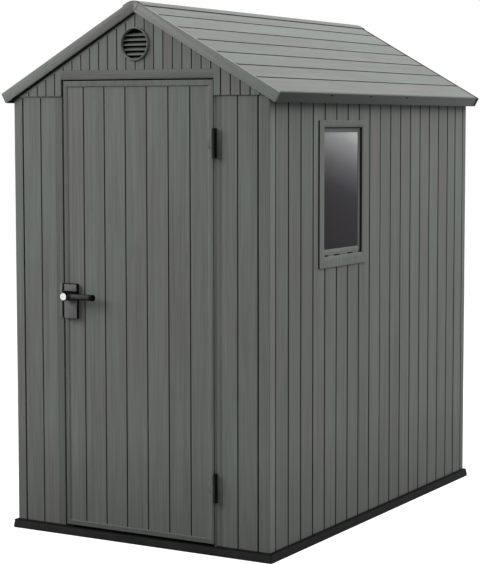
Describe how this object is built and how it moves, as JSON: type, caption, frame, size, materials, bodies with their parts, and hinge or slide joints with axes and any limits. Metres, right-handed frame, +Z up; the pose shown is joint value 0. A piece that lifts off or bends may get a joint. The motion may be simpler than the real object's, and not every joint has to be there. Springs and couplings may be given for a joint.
{
  "type": "plastic garden shed",
  "caption": "Narrow resin garden shed with a gable roof, a hinged boarded door with a lever handle, a fixed side window and round louvre vents in the gables.",
  "frame": {"origin": "centre of the base's underside, midway between the walls' outer faces", "axes": "+Z up, door in the wall towards -Y, window in the wall towards +X, ridge along Y"},
  "size_m": [1.256, 1.8565, 2.0656],
  "materials": {
    "wall_resin": "matt grey-green resin with a fine brushed wood grain",
    "roof_resin": "matt grey-green resin with a fine brushed wood grain, boards along the ridge",
    "trim_resin": "matt dark grey resin",
    "base_resin": "fine-grained black resin",
    "window_pane": "clear flat pane",
    "hinge_black": "satin black",
    "lock_grey": "satin warm grey",
    "lever_black": "satin black",
    "lock_chrome": "bright turned face"
  },
  "bodies": {
    "shell": {"base_floor": "base_resin", "post_front_left": "wall_resin", "post_front_right": "wall_resin", "post_back_left": "wall_resin", "post_back_right": "wall_resin", "front_panel_left": "wall_resin", "front_panel_right": "wall_resin", "hinge_jamb": "wall_resin", "stop_left": "wall_resin", "stop_right": "wall_resin", "stop_head": "wall_resin", "door_header": "wall_resin", "gable_front": "wall_resin", "gable_front_left": "wall_resin", "gable_front_right": "wall_resin", "side_left_front": "wall_resin", "side_left_back": "wall_resin", "side_right_front": "wall_resin", "side_right_back": "wall_resin", "back_panel_left": "wall_resin", "back_panel_right": "wall_resin", "gable_back": "wall_resin", "roof_left": "roof_resin", "roof_right": "roof_resin", "ridge_cap": "roof_resin", "verge_front_left": "roof_resin", "verge_front_right": "roof_resin", "verge_back_left": "roof_resin", "verge_back_right": "roof_resin", "fascia_left": "trim_resin", "fascia_right": "trim_resin", "vent_front": "wall_resin", "vent_back": "wall_resin", "window_frame": "wall_resin", "window_glass": "window_pane", "hinge_top_jamb": "hinge_black", "hinge_low_jamb": "hinge_black", "lock_keeper": "lock_grey"},
    "door": {"door_leaf": "wall_resin", "door_rim": "wall_resin", "hinge_top_door": "hinge_black", "hinge_low_door": "hinge_black", "lock_plate": "lock_grey"},
    "lever": {"door_lever": "lever_black", "lock_cylinder": "lock_chrome"}
  },
  "joints": [
    {"name": "door_hinge", "type": "hinge", "parent": "shell", "child": "door", "pos_m": [0.343, -0.9016, 1], "axis": [0, 0, 1], "range_deg": [0, 105]},
    {"name": "lever_turn", "type": "hinge", "parent": "door", "child": "lever", "pos_m": [-0.309, -0.924, 0.942], "axis": [0, 1, 0], "range_deg": [0, 40], "stiffness_Nm_per_rad": 0.8, "springref_deg": -28.65}
  ]
}
